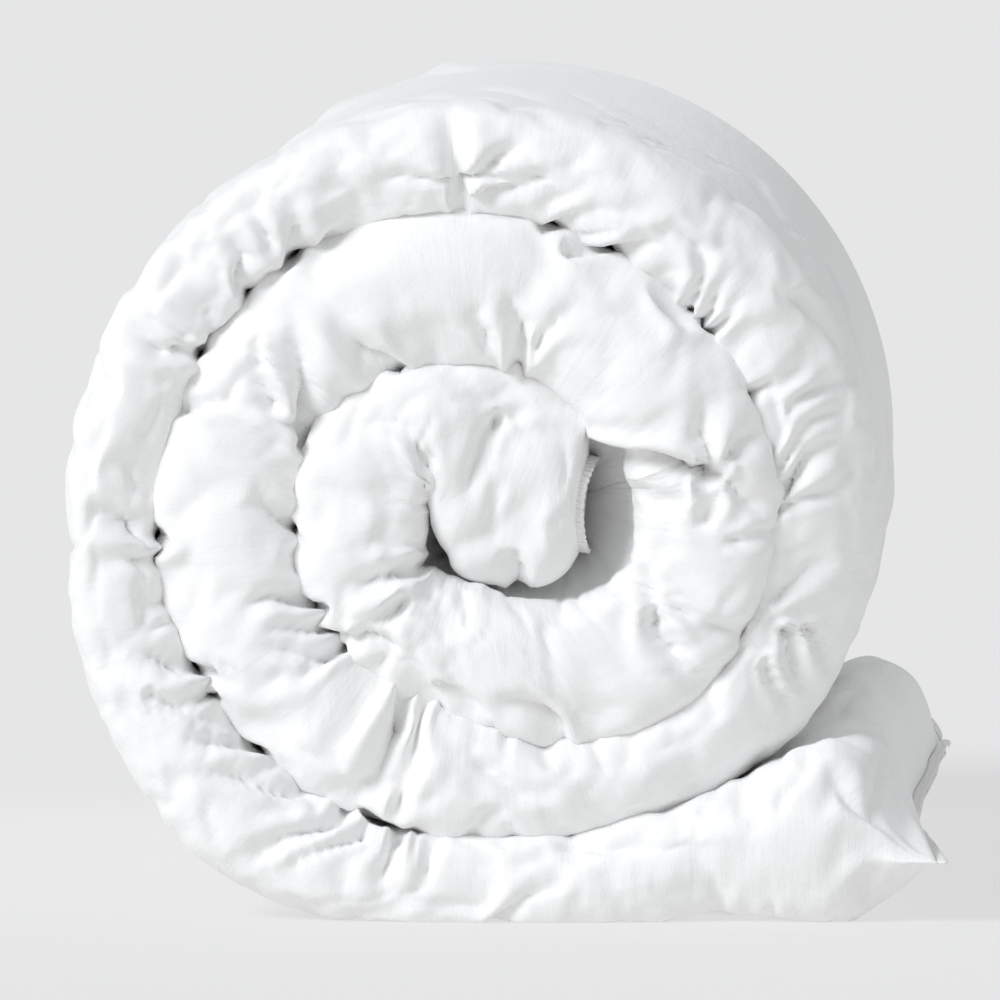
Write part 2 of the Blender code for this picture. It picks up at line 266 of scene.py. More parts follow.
def ring_shape(thickness):
    """Section of the folded duvet: depths along Y and distances in from the outside.

    It starts deep in the groove between the plies, goes over the edge of the
    outer ply, along the outside, round the fold, back along the inside, and over
    the edge of the inner ply.
    """
    t = thickness
    fold_depth = min(0.45 * t + 0.008, FOLD_DEPTH)
    quarter = t / 4
    start = REAR - EDGE

    def half(depth):
        share = np.clip((depth - start) / EDGE, 0, 1)
        return HEM_PLY + (quarter - HEM_PLY) * (1 - share ** 1.9) ** 0.62

    ys = []
    ds = []
    # the middle side of the outer ply, out to its hem
    y = REAR - GROOVE * (1 - spaced(0.0, 1.0, GROOVE_POINTS, 1.6))
    ys.append(y)
    ds.append(np.minimum(quarter + half(y) - SLIT, t / 2 - SLIT))
    # from the hem forward along the outside
    y = REAR - EDGE * spaced(0.0, 1.0, EDGE_POINTS, 0.62)
    ys.append(y)
    ds.append(quarter - half(y))
    y = spaced(start, FRONT + fold_depth, OUTSIDE_POINTS, 1.25)
    ys.append(y)
    ds.append(np.zeros(len(y)))
    # round the fold
    turn = spaced(0.0, math.pi, FOLD_POINTS)
    c = np.cos(turn)
    s = np.sin(turn)
    ys.append(FRONT + fold_depth - fold_depth * np.abs(s) ** (2 / BULGE))
    ds.append(t / 2 - t / 2 * np.sign(c) * np.abs(c) ** (2 / BULGE))
    # back along the inside to the inner ply's hem, and into the groove again
    back = (np.arange(INSIDE_POINTS) / INSIDE_POINTS) ** 1.35
    y = FRONT + fold_depth + (start - FRONT - fold_depth) * back
    ys.append(y)
    ds.append(np.full(len(y), t))
    y = start + EDGE * spaced(0.0, 1.0, EDGE_POINTS, 1.6)
    ys.append(y)
    ds.append(t - quarter + half(y))
    y = REAR - GROOVE * spaced(0.0, 1.0, GROOVE_POINTS, 0.62)
    ys.append(y)
    ds.append(np.maximum(t - quarter - half(y) + SLIT, t / 2 + SLIT))
    return np.concatenate(ys), np.concatenate(ds)


def fold_back(angle):
    """How far behind the front the fold lies: the roll is not wound quite level."""
    back = 0.0
    for centre, half, depth in FOLD_SETBACKS:
        back += depth * smooth(1 - abs(angle - centre) / half)
    return back + CORE_SETBACK * smooth((angle - 872) / 60)


def lean_back(angle):
    """How much further back the outside of the fold lies than its inside."""
    return LEAN * smooth(1 - abs(angle - 280) / 90)


def build_grid():
    """Grid of points: sections along the path by points round each section."""
    a, b, length, places = fine_path()
    onward = np.gradient((a + b) / 2, axis=0)
    onward /= np.linalg.norm(onward, axis=1, keepdims=True)
    grid = []
    depth = []
    for outer, inner, s, place, ahead in zip(a, b, length, places, onward):
        t = np.linalg.norm(inner - outer)
        way = (inner - outer) / t
        ys, ds = ring_shape(t)
        # the last few millimetres round off towards the hem
        turned = np.clip(1 - (length[-1] - s) / CORE_ROUND, 0, 1)
        close = 1 - math.sqrt(1 - turned ** 2)
        ds = t / 2 + (ds - t / 2) * (1 - 0.26 * close)
        angle = angle_of(place)
        back = fold_back(angle) + lean_back(angle) * (1 - ds / t) + 0.005 * close
        ys = ys + back * (1 - smooth((ys - FRONT) / 0.15))
        # the core's end is drawn in between its two sides
        drawn = smooth(1 - (length[-1] - s) / CORE_DRAWN)
        reach = drawn * (0.0035 * ds / t - 0.0065 * np.sin(math.pi * ds / t))
        grid.append(np.column_stack([outer[0] + way[0] * ds + ahead[0] * reach, ys,
                                     outer[1] + way[1] * ds + ahead[1] * reach]))
        depth.append(ds / t)
    return np.array(grid), np.array(depth), a, b, length, places


def grid_normals(grid):
    """Outward normals of the grid; the second direction is closed."""
    along = np.gradient(grid, axis=0)
    around = (np.roll(grid, -1, axis=1) - np.roll(grid, 1, axis=1)) / 2
    normal = np.cross(around, along)
    return normal / np.maximum(np.linalg.norm(normal, axis=2, keepdims=True), 1e-12)


def angle_of(place):
    """Angle round the roll, in degrees, at a place along the row of sections."""
    return (place - TAIL_PLACES) * STEP_ANGLE + HINGE_ANGLE


def place_of(angle):
    """Place along the row of sections of an angle round the roll."""
    return TAIL_PLACES + (angle - HINGE_ANGLE) / STEP_ANGLE


# ---- creases -------------------------------------------------------------------
# Millimetres from the roll's axis, seen from the folded end: the points of each
# crease, its depth and its width. A crease is deepest at its first point.

CREASES = (
    # the outer turn, from the top round to the left
    (((-10, 139), (-12, 160), (-15, 181)), 13, 7.0),
    (((-8, 146), (10, 160), (26, 166)), 5, 4.0),
    (((-16, 146), (-36, 150), (-52, 146)), 5, 4.5),
    (((2, 150), (24, 150), (42, 143)), 4, 4.0),
    (((-86, 110), (-82, 126), (-90, 142)), 10, 5.5),
    (((-106, 98), (-104, 112), (-118, 128)), 9, 5.5),
    (((-94, 118), (-102, 136), (-98, 150)), 5, 4.5),
    (((-126, 72), (-142, 74), (-160, 88)), 11, 7.0),
    (((-130, 80), (-146, 88), (-152, 104)), 4, 4.0),
    (((-140, -14), (-160, -2), (-178, 6)), 13, 7.5),
    (((-142, -22), (-160, -20), (-176, -24)), 5, 5.0),
    (((-120, -72), (-142, -66), (-160, -62)), 10, 6.0),
    (((-118, -80), (-136, -84), (-152, -90)), 5, 4.5),
    (((-94, -108), (-118, -102), (-142, -98)), 7, 5.5),
    (((-82, -126), (-108, -118), (-134, -116)), 6, 4.5),
    (((-62, -136), (-88, -146), (-110, -160)), 10, 6.5),
    (((-54, -142), (-78, -152), (-98, -168)), 5, 4.5),
    (((-38, -146), (-44, -160), (-40, -178)), 9, 6.0),
    (((-22, -150), (-28, -166), (-44, -176)), 5, 5.0),
    (((6, -182), (20, -172), (50, -164)), 5, 6.0),
    (((40, -150), (80, -150), (130, -146)), 3, 8.0),
    # the outer turn, from the top round to the right
    (((40, 118), (64, 118), (96, 122)), 6, 6.0),
    (((78, 94), (88, 88), (98, 80)), 8, 5.0),
    (((98, 84), (104, 98), (112, 110)), 7, 5.0),
    (((104, 80), (114, 96), (124, 100)), 5, 4.5),
    (((30, 128), (52, 136), (80, 134)), 4, 5.0),
    (((118, 52), (134, 56), (152, 72)), 5, 5.0),
    (((134, 10), (148, 26), (166, 34)), 12, 6.5),
    (((134, 22), (148, 38), (166, 52)), 7, 5.0),
    (((132, 2), (150, 8), (168, 10)), 6, 5.5),
    (((132, -36), (146, -26), (160, -20)), 7, 7.0),
    (((136, -54), (142, -70), (146, -86)), 10, 5.5),
    (((146, -54), (154, -66), (158, -78)), 7, 4.5),
    (((128, -66), (134, -80), (140, -92)), 6, 4.5),
    (((-8, 147), (9, 162), (29, 171)), 5, 4.5),
    (((-4, 140), (18, 146), (37, 158)), 5, 4.5),
    (((80, 126), (97, 118), (105, 97)), 5, 4.5),
    (((93, 91), (98, 108), (94, 126)), 6, 4.5),
    (((138, 46), (155, 58), (169, 65)), 6, 5.0),
    (((142, 95), (159, 74), (168, 48)), 5, 5.5),
    (((-147, -82), (-122, -90), (-98, -108)), 5, 5.0),
    # the second turn
    (((-99, 76), (-96, 56), (-80, 38)), 7, 5.0),
    (((-131, 46), (-112, 52), (-102, 72)), 6, 5.0),
    (((-62, -60), (-82, -72), (-108, -78)), 6, 5.0),
    (((-36, -132), (-29, -110), (-24, -90)), 9, 6.0),
    (((49, 33), (76, 24), (106, 18), (116, 16)), 15, 6.5),
    (((106, 18), (80, 22), (54, 32)), 12, 6.0),
    (((-80, 32), (-76, 54), (-82, 82), (-86, 98)), 14, 8.0),
    (((-36, 64), (-50, 70), (-62, 84), (-66, 98)), 13, 8.0),
    (((16, 68), (18, 86), (10, 102)), 13, 7.0),
    (((24, 72), (34, 88), (46, 96)), 5, 6.0),
    (((2, 74), (-4, 86), (-2, 98)), 5, 4.5),
    (((-92, 48), (-102, 64), (-94, 74)), 8, 5.5),
    (((-84, 40), (-100, 50), (-118, 50)), 5, 5.0),
    (((-80, -10), (-96, 4), (-104, 16)), 6, 5.5),
    (((-70, -42), (-92, -38), (-112, -42)), 10, 6.0),
    (((-66, -52), (-88, -52), (-104, -56)), 5, 4.5),
    (((-60, -62), (-82, -62), (-106, -62)), 8, 6.0),
    (((-36, -84), (-42, -108), (-50, -126), (-66, -132)), 17, 8.0),
    (((-26, -88), (-34, -114), (-46, -132)), 10, 6.0),
    (((-52, -136), (-38, -142), (-20, -146)), 5, 5.0),
    (((0, -112), (16, -122), (40, -124)), 3, 6.0),
    (((104, 22), (98, 36), (100, 58)), 10, 6.0),
    (((106, 18), (114, 30), (122, 42)), 7, 4.5),
    (((98, 18), (104, 8), (100, -4), (106, -8)), 11, 5.0),
    (((98, 20), (112, 14), (130, -2)), 9, 6.0),
    (((110, -14), (120, -10), (132, -6)), 5, 4.5),
    (((72, -30), (82, -52), (98, -70)), 8, 8.0),
    (((84, -56), (92, -72), (106, -76)), 6, 6.0),
    # the core
    (((-60, -56), (-41, -57), (-18, -82), (-5, -100)), 7, 5.5),
    (((36, -101), (22, -84), (8, -82)), 6, 5.0),
    (((85, -38), (98, -50), (124, -56)), 6, 5.0),
    (((9, 42), (-4, 16), (-9, -3)), 6, 6.0),
    (((-24, 24), (-32, 36), (-44, 42), (-62, 40)), 7, 6.0),
    (((-20, 24), (-26, 38), (-38, 48)), 4, 5.0),
    (((-28, -26), (-46, -28), (-66, -32)), 11, 6.0),
    (((-34, -38), (-48, -52), (-58, -58)), 10, 6.5),
    (((-38, -54), (-44, -64), (-46, -74)), 7, 5.0),
    (((8, 14), (2, 0), (10, -20)), 4, 6.0),
    (((16, -31), (14, -24), (8, -16)), 9, 5.0),
    (((44, 8), (36, -4), (40, -20)), 5, 5.0),
    (((34, -100), (20, -88), (4, -82)), 9, 6.0),
    (((-16, -76), (-4, -86), (6, -94)), 6, 5.0),
    (((76, -44), (82, -62), (96, -72)), 9, 7.0),
    (((18, 44), (4, 40), (-6, 24)), 4, 7.0),
)


def stroke_field(x, z, points):
    """Signed distance from a polyline in the XZ plane, and share of its length."""
    best = np.full(x.shape, 1e9)
    side = np.zeros(x.shape)
    along = np.zeros(x.shape)
    points = np.array(points, float) / 1000
    runs = np.linalg.norm(np.diff(points, axis=0), axis=1)
    total = runs.sum()
    done = 0.0
    for p, q, run in zip(points, points[1:], runs):
        d = (q - p) / run
        rx = x - p[0]
        rz = z - p[1]
        t = np.clip(rx * d[0] + rz * d[1], 0, run)
        dx = rx - t * d[0]
        dz = rz - t * d[1]
        dist = np.hypot(dx, dz)
        nearer = dist < best
        best = np.where(nearer, dist, best)
        side = np.where(nearer, np.sign(d[0] * rz - d[1] * rx), side)
        along = np.where(nearer, (done + t) / total, along)
        done += run
    return best, side, along


def noise_field(points, seed):
    """Smooth noise from -1 to 1, read on a table of random values."""
    rng = np.random.default_rng(seed)
    table = rng.uniform(-1, 1, (32, 32, 32))
    flat = points.reshape(-1, 3)
    cell = np.floor(flat).astype(int)
    part = flat - cell
    part = part * part * (3 - 2 * part)
    out = np.zeros(len(flat))
    for dx in (0, 1):
        for dy in (0, 1):
            for dz in (0, 1):
                w = (np.abs(1 - dx - part[:, 0]) * np.abs(1 - dy - part[:, 1])
                     * np.abs(1 - dz - part[:, 2]))
                corner = (cell + (dx, dy, dz)) % 32
                out += w * table[corner[:, 0], corner[:, 1], corner[:, 2]]
    return out.reshape(points.shape[:-1])


def field(first, second, third, seed):
    """Smooth noise at three coordinates."""
    return noise_field(np.stack([first, second, third], -1), seed)


def crease_depths(grid):
    """How far the creases push each point in, and how firmly they hold the cloth."""
    x = grid[:, :, 0] - CENTRE[0]
    z = grid[:, :, 2] - CENTRE[1]
    into = grid[:, :, 1] - FRONT
    # a wandering line looks like cloth, a straight one like a cut
    wander_x = field(x * 55, z * 55, 0 * x, 3) * 0.0022
    wander_z = field(x * 55, z * 55, 0 * x + 385, 5) * 0.0022
    push = np.zeros(x.shape)
    hold = np.zeros(x.shape)
    for number, (points, depth, width) in enumerate(CREASES):
        depth = depth / 1000
        width = width / 1000
        dist, side, along = stroke_field(x + wander_x, z + wander_z, points)
        near = dist < 8 * width
        # a crease opens out and grows shallow away from where the cloth is pinched
        spread = width * (0.5 + 0.8 * along)
        taper = 1 - 0.7 * along
        end = 1 - smooth((along - 0.6) / 0.4)
        fade = np.exp(-np.maximum(into - 0.020, 0) / (0.024 + 2.2 * width))
        lean = 1 if number % 2 else -1
        valley = np.exp(-(dist / (0.62 * spread)) ** 1.25)
        ridge = np.exp(-((dist - 1.6 * spread) / (0.8 * spread)) ** 2)
        shape = valley - ridge * np.where(side == lean, 0.26, 0.12)
        push += np.where(near, depth * taper * end * fade * shape, 0)
        line = np.exp(-(dist / 0.0035) ** 2) * smooth(depth * taper * end / 0.005) * fade
        hold = np.maximum(hold, np.where(near, line, 0))
    return push, hold


def wrinkles(grid, share, length):
    """Small folds that follow no crease.

    They run across the layer at the fold, and along the roll on its body.
    """
    s = np.repeat(length[:, None], grid.shape[1], axis=1)
    into = grid[:, :, 1] - FRONT
    q = np.abs(share - 0.5) * 2                      # 1 on the faces, 0 on the fold's crown
    warp = field(s * 14, share * 2.5, into * 9, 11)
    slant = field(s * 8, 0 * s + 3, 0 * s, 47) * 3.2
    fine = field(s * 82 + warp * 1.2 + share * slant, share * 1.7, into * 6 + 3, 13)
    second = field(s * 120 - warp - share * slant, share * 2.0 + 9, into * 8, 53)
    broad = field(s * 26 + warp, share * 1.5, into * 5, 17)
    lobes = field(s * 11, share * 1.2 + 5, into * 4, 19)
    ridged = (1 - np.abs(fine) * 2.6).clip(0, 1) ** 1.4
    small = (1 - np.abs(second) * 2.4).clip(0, 1) ** 1.4
    where = smooth(field(s * 13 + 40, share * 2.2, into * 5, 23) * 0.9 + 0.55)
    elsewhere = smooth(field(s * 17 + 70, share * 2.6, into * 5, 59) * 0.9 + 0.4)
    near_front = np.exp(-np.maximum(into - 0.02, 0) / 0.05)
    tight = smooth(q * 1.2)
    push = NEAR_BROAD * broad * near_front
    push += NEAR_LOBES * lobes * near_front
    push += NEAR_RIDGES * ridged * where * (0.5 + 0.5 * tight) * near_front
    push += NEAR_SMALL * small * elsewhere * (0.5 + 0.5 * tight) * near_front
    # soft hollows and long shallow streaks over the body
    streak = field(s * 30 + into * 5, into * 7 + s * 3, share * 2, 29)
    sag = field(s * 7, into * 5, share, 31)
    drawn = field(s * 52 - into * 11, into * 5 + s * 2, share * 2, 61)
    dent = field(s * 19, into * 11, share, 67)
    body = BODY_STREAKS * (1 - np.abs(streak) * 2).clip(0, 1) ** 1.4
    body = body + BODY_SAG * sag + BODY_DENTS * dent
    body += BODY_DRAWN * (1 - np.abs(drawn) * 2.4).clip(0, 1) ** 1.4 * smooth(dent + 0.5)
    push += (1 - near_front) * body
    # puckers along the sewn edges
    back = np.clip(1 - (REAR - grid[:, :, 1]) / 0.07, 0, 1)
    gather = field(s * 60, share * 2, into * 2, 37)
    push += HEM_PUCKERS * gather * back * (1 - back ** 4)
    return push


def soften(values, times):
    """Evens out a grid of values a little, away from its edges."""
    values = values.copy()
    for _ in range(times):
        values[:, 1:-1] = (values[:, :-2] + 2 * values[:, 1:-1] + values[:, 2:]) / 4
        values[1:-1] = (values[:-2] + 2 * values[1:-1] + values[2:]) / 4
    return values


def finer(values, closed):
    """Twice as many rows of a grid, on smooth curves through the first ones."""
    if closed:
        before = np.roll(values, 1, 0)
        after = np.roll(values, -1, 0)
        beyond = np.roll(values, -2, 0)
    else:
        before = np.concatenate([values[:1], values[:-1]])
        after = np.concatenate([values[1:], values[-1:]])
        beyond = np.concatenate([values[2:], values[-1:], values[-1:]])
    between = (9 * (values + after) - before - beyond) / 16
    out = np.stack([values, between], 1).reshape(-1, *values.shape[1:])
    return out if closed else out[:-1]


def close_hollow(grid, share, places):
    """Behind the fold the layer round the core swells into the hollow and shuts it."""
    angle = angle_of(places)
    right = smooth((angle - 552) / 42) * (1 - smooth((angle - 690) / 60))
    left = smooth((angle - 700) / 40) * (1 - smooth((angle - 815) / 30))
    deep = smooth((grid[:, :, 1] - FRONT - 0.030) / 0.06)
    swell = (SWELL_RIGHT * right + SWELL_LEFT * left)[:, None]
    return swell * deep * smooth((share - 0.72) / 0.28)


def pinch_tail(grid):
    """Draws the two corners of the tail out and together, and the edge between them in."""
    past = grid[:, :, 0] - HINGE[0]
    low = grid[:, :, 2] < 0.09
    toward_tip = smooth((past - 0.045) / (TAIL_SECTIONS[0][0] - 0.045)) * low
    front = np.exp(-((grid[:, :, 1] - FRONT) / 0.055) ** 1.4)
    back = np.exp(-(np.maximum(REAR - grid[:, :, 1], 0) / 0.055) ** 1.4)
    corner = np.maximum(front, 0.6 * back)
    squash = 1 - 0.80 * toward_tip ** 1.6 * corner
    middle = 0.027
    grid[:, :, 2] = middle + (grid[:, :, 2] - middle) * squash
    grid[:, :, 0] += toward_tip ** 2 * (0.0085 * corner - 0.004 * (1 - corner))
    # the end wanders, and the down behind it is fuller in some places than in others
    y = grid[:, :, 1]
    grid[:, :, 0] += 0.0055 * toward_tip * field(y * 9, 0 * y, 0 * y, 71) * (1 - corner)
    grid[:, :, 2] += 0.0060 * toward_tip * field(y * 7, 0 * y, 0 * y, 73) * (1 - corner)
    fuller = field(y * 8, 0 * y, 0 * y, 79)
    full = 1 + 0.10 * fuller * smooth(past / 0.04) * low * (1 - toward_tip)
    grid[:, :, 2] = middle + (grid[:, :, 2] - middle) * full
    return grid


def settle(grid, hold):
    """Lets loose cloth billow between the lines that hold it, and returns its points."""
    count, around, _ = grid.shape
    i = np.arange(count - 1)[:, None]
    j = np.arange(around - 1)[None, :]
    quads = np.stack([i * around + j, i * around + j + 1,
                      (i + 1) * around + j + 1, (i + 1) * around + j], -1).reshape(-1, 4)
    mesh = bpy.data.meshes.new("loose")
    mesh.from_pydata(grid.reshape(-1, 3).tolist(), [], quads.tolist())
    item = bpy.data.objects.new("loose", mesh)
    bpy.context.scene.collection.objects.link(item)
    group = item.vertex_groups.new(name="held")
    levels = np.round(hold.reshape(-1) * PIN_LEVELS).astype(int)
    for level in range(1, PIN_LEVELS + 1):
        picked = np.nonzero(levels == level)[0]
        if len(picked):
            group.add(picked.tolist(), level / PIN_LEVELS, "REPLACE")
    cloth = item.modifiers.new("cloth", "CLOTH")
    for name, value in CLOTH.items():
        setattr(cloth.settings, name, value)
    cloth.settings.vertex_group_mass = "held"
    cloth.settings.effector_weights.gravity = 0
    cloth.collision_settings.use_collision = False
    scene = bpy.context.scene
    for frame_number in range(1, CLOTH_FRAMES + 1):
        scene.frame_set(frame_number)
    evaluated = item.evaluated_get(bpy.context.evaluated_depsgraph_get())
    points = np.empty(count * around * 3, np.float32)
    evaluated.data.vertices.foreach_get("co", points)
    bpy.data.objects.remove(item, do_unlink=True)
    scene.frame_set(1)
    return points.reshape(count, around, 3).astype(float)


def billow(grid, share, hold):
    """Settles the cloth round the fold, where it is seen end on."""
    into = grid[0, :, 1] - FRONT
    number = np.arange(grid.shape[1])
    between = (number > HEM_OUTER) & (number < HEM_INNER)
    columns = np.nonzero((into < LOOSE_DEPTH) & between)[0]
    part = grid[:, columns]
    depth = part[:, :, 1] - FRONT
    side = np.abs(share[:, columns] - 0.5) * 2
    # far behind the fold, and where the next turn presses, the cloth stays put
    fixed = smooth((depth - 0.06) / (LOOSE_DEPTH - 0.07))
    pressed = smooth((depth - 0.030) / 0.03) * smooth((side - 0.9) / 0.1) * 0.6
    pins = np.maximum(np.maximum(fixed, pressed), hold[:, columns])
    pins[part[:, :, 2] < 0.0005] = 1
    pins[:3] = 1
    pins[-3:] = 1
    pins[:, 0] = 1
    pins[:, -1] = 1
    settled = settle(part, np.clip(pins, 0, 1))
    move = soften(settled - part, 1)
    normal = grid_normals(grid)[:, columns]
    out = (move * normal).sum(2)
    # no further out than the next turn allows
    limit = GIVE_FACE + GIVE_CROWN * (1 - smooth(side * 1.05))
    excess = np.maximum(out - limit, 0) + np.minimum(out + 0.012, 0)
    move -= normal * excess[:, :, None]
    grid = grid.copy()
    grid[:, columns] = part + move
    return grid


def shape_cloth():
    """The finished grid of the cover, with its creases."""
    grid, share, outer, inner, length, places = build_grid()
    grid = pinch_tail(grid)
    normal = grid_normals(grid)
    thickness = np.linalg.norm(inner - outer, axis=1)[:, None]
    push, hold = crease_depths(grid)
    push += wrinkles(grid, share, length)
    face = np.abs(share - 0.5) * 2                   # 1 on the faces, 0 on the fold's crown
    side = smooth((face - 0.50) / 0.44)
    push = np.minimum(push, 0.42 * thickness * (1 - side) + MOST_IN * side)
    push = np.maximum(push, -MOST_OUT)
    # pressed against the next turn, right behind the fold
    into = grid[:, :, 1] - FRONT
    pressed = smooth((face - 0.45) / 0.5) * np.exp(-np.maximum(into - 0.03, 0) / 0.02)
    push -= PRESS * pressed * (1 - hold) * (grid[:, :, 2] > 0.002)
    # the sewn ends stay flat
    push *= (smooth(length / 0.030) * smooth((length[-1] - length) / 0.010))[:, None]
    push -= close_hollow(grid, share, places)
    grid = grid - normal * push[:, :, None]
    grid = billow(grid, share, hold)
    rows = (grid, outer, inner, length, places)
    grid, outer, inner, length, places = (finer(row, False) for row in rows)
    grid = finer(grid.swapaxes(0, 1), True).swapaxes(0, 1)
    grid[:, :, 2] = np.maximum(grid[:, :, 2], 0.0)
    grid[:, :, 1] = np.clip(grid[:, :, 1], FRONT - PUFF_REACH, REAR + 0.002)
    return grid, outer, inner, length, places


# ---- meshes ---------------------------------------------------------------------

def cloth_mesh(name, grid, s, r, normals=None):
    """A closed mesh from a grid of rings, with both ends capped.

    s and r are lengths along and around the cloth, kept for the weave. normals
    keep the shading unbroken where a cloth is parted in two.
    """
    count, around, _ = grid.shape
    verts = grid.reshape(-1, 3)
    i = np.arange(count - 1)[:, None]
    j = np.arange(around)[None, :]
    k = (j + 1) % around
    quads = np.stack([i * around + j, (i + 1) * around + j,
                      (i + 1) * around + k, i * around + k], -1).reshape(-1, 4)
    faces = quads.tolist()
    faces.append(list(range(around))[::-1])
    faces.append([(count - 1) * around + n for n in range(around)])
    mesh = bpy.data.meshes.new(name)
    mesh.from_pydata(verts.tolist(), [], faces)
    weave = mesh.attributes.new("weave", "FLOAT_VECTOR", "POINT")
    weave.data.foreach_set("vector", np.stack([s, r, 0 * s], -1).reshape(-1).astype(np.float32))
    work = bmesh.new()
    work.from_mesh(mesh)
    # short triangles keep a wavy end closed along its whole edge
    ends = [face for face in work.faces if len(face.verts) > 4]
    bmesh.ops.triangulate(work, faces=ends, ngon_method="BEAUTY")
    bmesh.ops.recalc_face_normals(work, faces=work.faces)
    work.to_mesh(mesh)
    work.free()
    mesh.shade_smooth()
    mesh.update()
    if normals is not None:
        mesh.normals_split_custom_set_from_vertices(normals.reshape(-1, 3).tolist())
    item = bpy.data.objects.new(name, mesh)
    bpy.context.scene.collection.objects.link(item)
    return item


def ribbon(name, path, out, half, width, scallop=0.0, pitch=0.004):
    """A flat hem: a thin strip along path, width wide towards out, half thick each way."""
    path = np.array(path)
    out = np.array(out)
    along = np.gradient(path, axis=0)
    run = np.concatenate([[0], np.cumsum(np.linalg.norm(np.diff(path, axis=0), axis=1))])
    normal = np.cross(along, out)
    normal /= np.maximum(np.linalg.norm(normal, axis=1, keepdims=True), 1e-9)
    edge = width + scallop * np.abs(np.sin(math.pi * run / pitch))
    rows = []
    for reach, thick in ((-0.15, 0.6), (0.2, 1.0), (0.6, 0.9), (0.88, 1.15), (1.0, 0.35)):
        rows.append(path + out * (edge * reach)[:, None] + normal * half * thick)
    for reach, thick in ((1.0, 0.35), (0.88, 1.15), (0.6, 0.9), (0.2, 1.0), (-0.15, 0.6)):
        rows.append(path + out * (edge * reach)[:, None] - normal * half * thick)
    grid = np.stack(rows, 1)
    s = np.repeat(run[:, None], grid.shape[1], axis=1)
    r = np.repeat(np.arange(grid.shape[1])[None, :] * width / 5, len(run), axis=0)
    return cloth_mesh(name, grid, s, r)


# ---- materials --------------------------------------------------------------------

def node(tree, kind, **values):
    """A new shader node, with values for its inputs or its settings."""
    made = tree.nodes.new(kind)
    for key, value in values.items():
        if key in made.inputs:
            made.inputs[key].default_value = value
        else:
            setattr(made, key, value)
    return made


WEAVE_DEPTH = 0.00006       # height of the threads
SLUB = 0.00022              # and of the thicker places in them


def cotton(name, light, shade, roughness=0.82, sheen=0.25):
    """White cotton: threads, slubs, soft handling creases and a faint change of tone."""
    material = bpy.data.materials.new(name)
    material.use_nodes = True
    tree = material.node_tree
    links = tree.links
    shader = tree.nodes["Principled BSDF"]
    shader.inputs["Roughness"].default_value = roughness
    shader.inputs["Sheen Weight"].default_value = sheen
    shader.inputs["Sheen Roughness"].default_value = 0.5
    shader.inputs["Specular IOR Level"].default_value = 0.25
    place = node(tree, "ShaderNodeAttribute", attribute_name="weave")

    def stretched(scale_along, scale_around, detail, offset):
        mapping = node(tree, "ShaderNodeMapping")
        mapping.inputs["Scale"].default_value = (scale_along, scale_around, 1.0)
        mapping.inputs["Location"].default_value = (0.0, 0.0, offset)
        texture = node(tree, "ShaderNodeTexNoise", Scale=1.0, Detail=detail, Roughness=0.55)
        links.new(place.outputs["Vector"], mapping.inputs["Vector"])
        links.new(mapping.outputs["Vector"], texture.inputs["Vector"])
        return texture.outputs["Fac"]

    tone = stretched(9.0, 9.0, 4.0, 2.0)
    ramp = node(tree, "ShaderNodeValToRGB")
    ramp.color_ramp.elements[0].position = 0.3
    ramp.color_ramp.elements[0].color = (*shade, 1)
    ramp.color_ramp.elements[1].position = 0.75
    ramp.color_ramp.elements[1].color = (*light, 1)
    links.new(tone, ramp.inputs["Fac"])
    links.new(ramp.outputs["Color"], shader.inputs["Base Color"])

    normal = None
    threads = []
    for axis in ("X", "Y"):
        wave = node(tree, "ShaderNodeTexWave", wave_type="BANDS", bands_direction=axis,
                    Scale=340.0, Distortion=0.6, Detail=1.0)
        links.new(place.outputs["Vector"], wave.inputs["Vector"])
        threads.append(wave.outputs["Fac"])
    crossing = node(tree, "ShaderNodeMath", operation="MULTIPLY")
    links.new(threads[0], crossing.inputs[0])
    links.new(threads[1], crossing.inputs[1])
    layers = ((crossing.outputs[0], WEAVE_DEPTH),
              (stretched(260.0, 1900.0, 2.0, 5.0), SLUB * 0.45),
              (stretched(1900.0, 240.0, 2.0, 9.0), SLUB * 0.45),
              (stretched(70.0, 46.0, 5.0, 13.0), SLUB * 2.0),
              (stretched(170.0, 26.0, 3.0, 17.0), SLUB * 2.6),
              (stretched(30.0, 150.0, 3.0, 21.0), SLUB * 1.8))
    for height, distance in layers:
        bump = node(tree, "ShaderNodeBump", Strength=1.0, Distance=distance)
        links.new(height, bump.inputs["Height"])
        if normal is not None:
            links.new(normal, bump.inputs["Normal"])
        normal = bump.outputs["Normal"]
    links.new(normal, shader.inputs["Normal"])
    return material


def thread_material(name):
    """Overlocked thread: close slanting stitches along the strip."""
    material = cotton(name, (0.92, 0.915, 0.905), (0.87, 0.865, 0.85), 0.7, 0.15)
    tree = material.node_tree
    place = [n for n in tree.nodes if n.bl_idname == "ShaderNodeAttribute"][0]
    mapping = node(tree, "ShaderNodeMapping")
    mapping.inputs["Rotation"].default_value = (0.0, 0.0, math.radians(20))
    wave = node(tree, "ShaderNodeTexWave", wave_type="BANDS", bands_direction="X",
                Scale=110.0, Distortion=0.8, Detail=1.0)
    bump = node(tree, "ShaderNodeBump", Strength=1.0, Distance=0.0006)
    shader = tree.nodes["Principled BSDF"]
    before = shader.inputs["Normal"].links[0].from_socket
    tree.links.new(place.outputs["Vector"], mapping.inputs["Vector"])
    tree.links.new(mapping.outputs["Vector"], wave.inputs["Vector"])
    tree.links.new(wave.outputs["Fac"], bump.inputs["Height"])
    tree.links.new(before, bump.inputs["Normal"])
    tree.links.new(bump.outputs["Normal"], shader.inputs["Normal"])
    return material


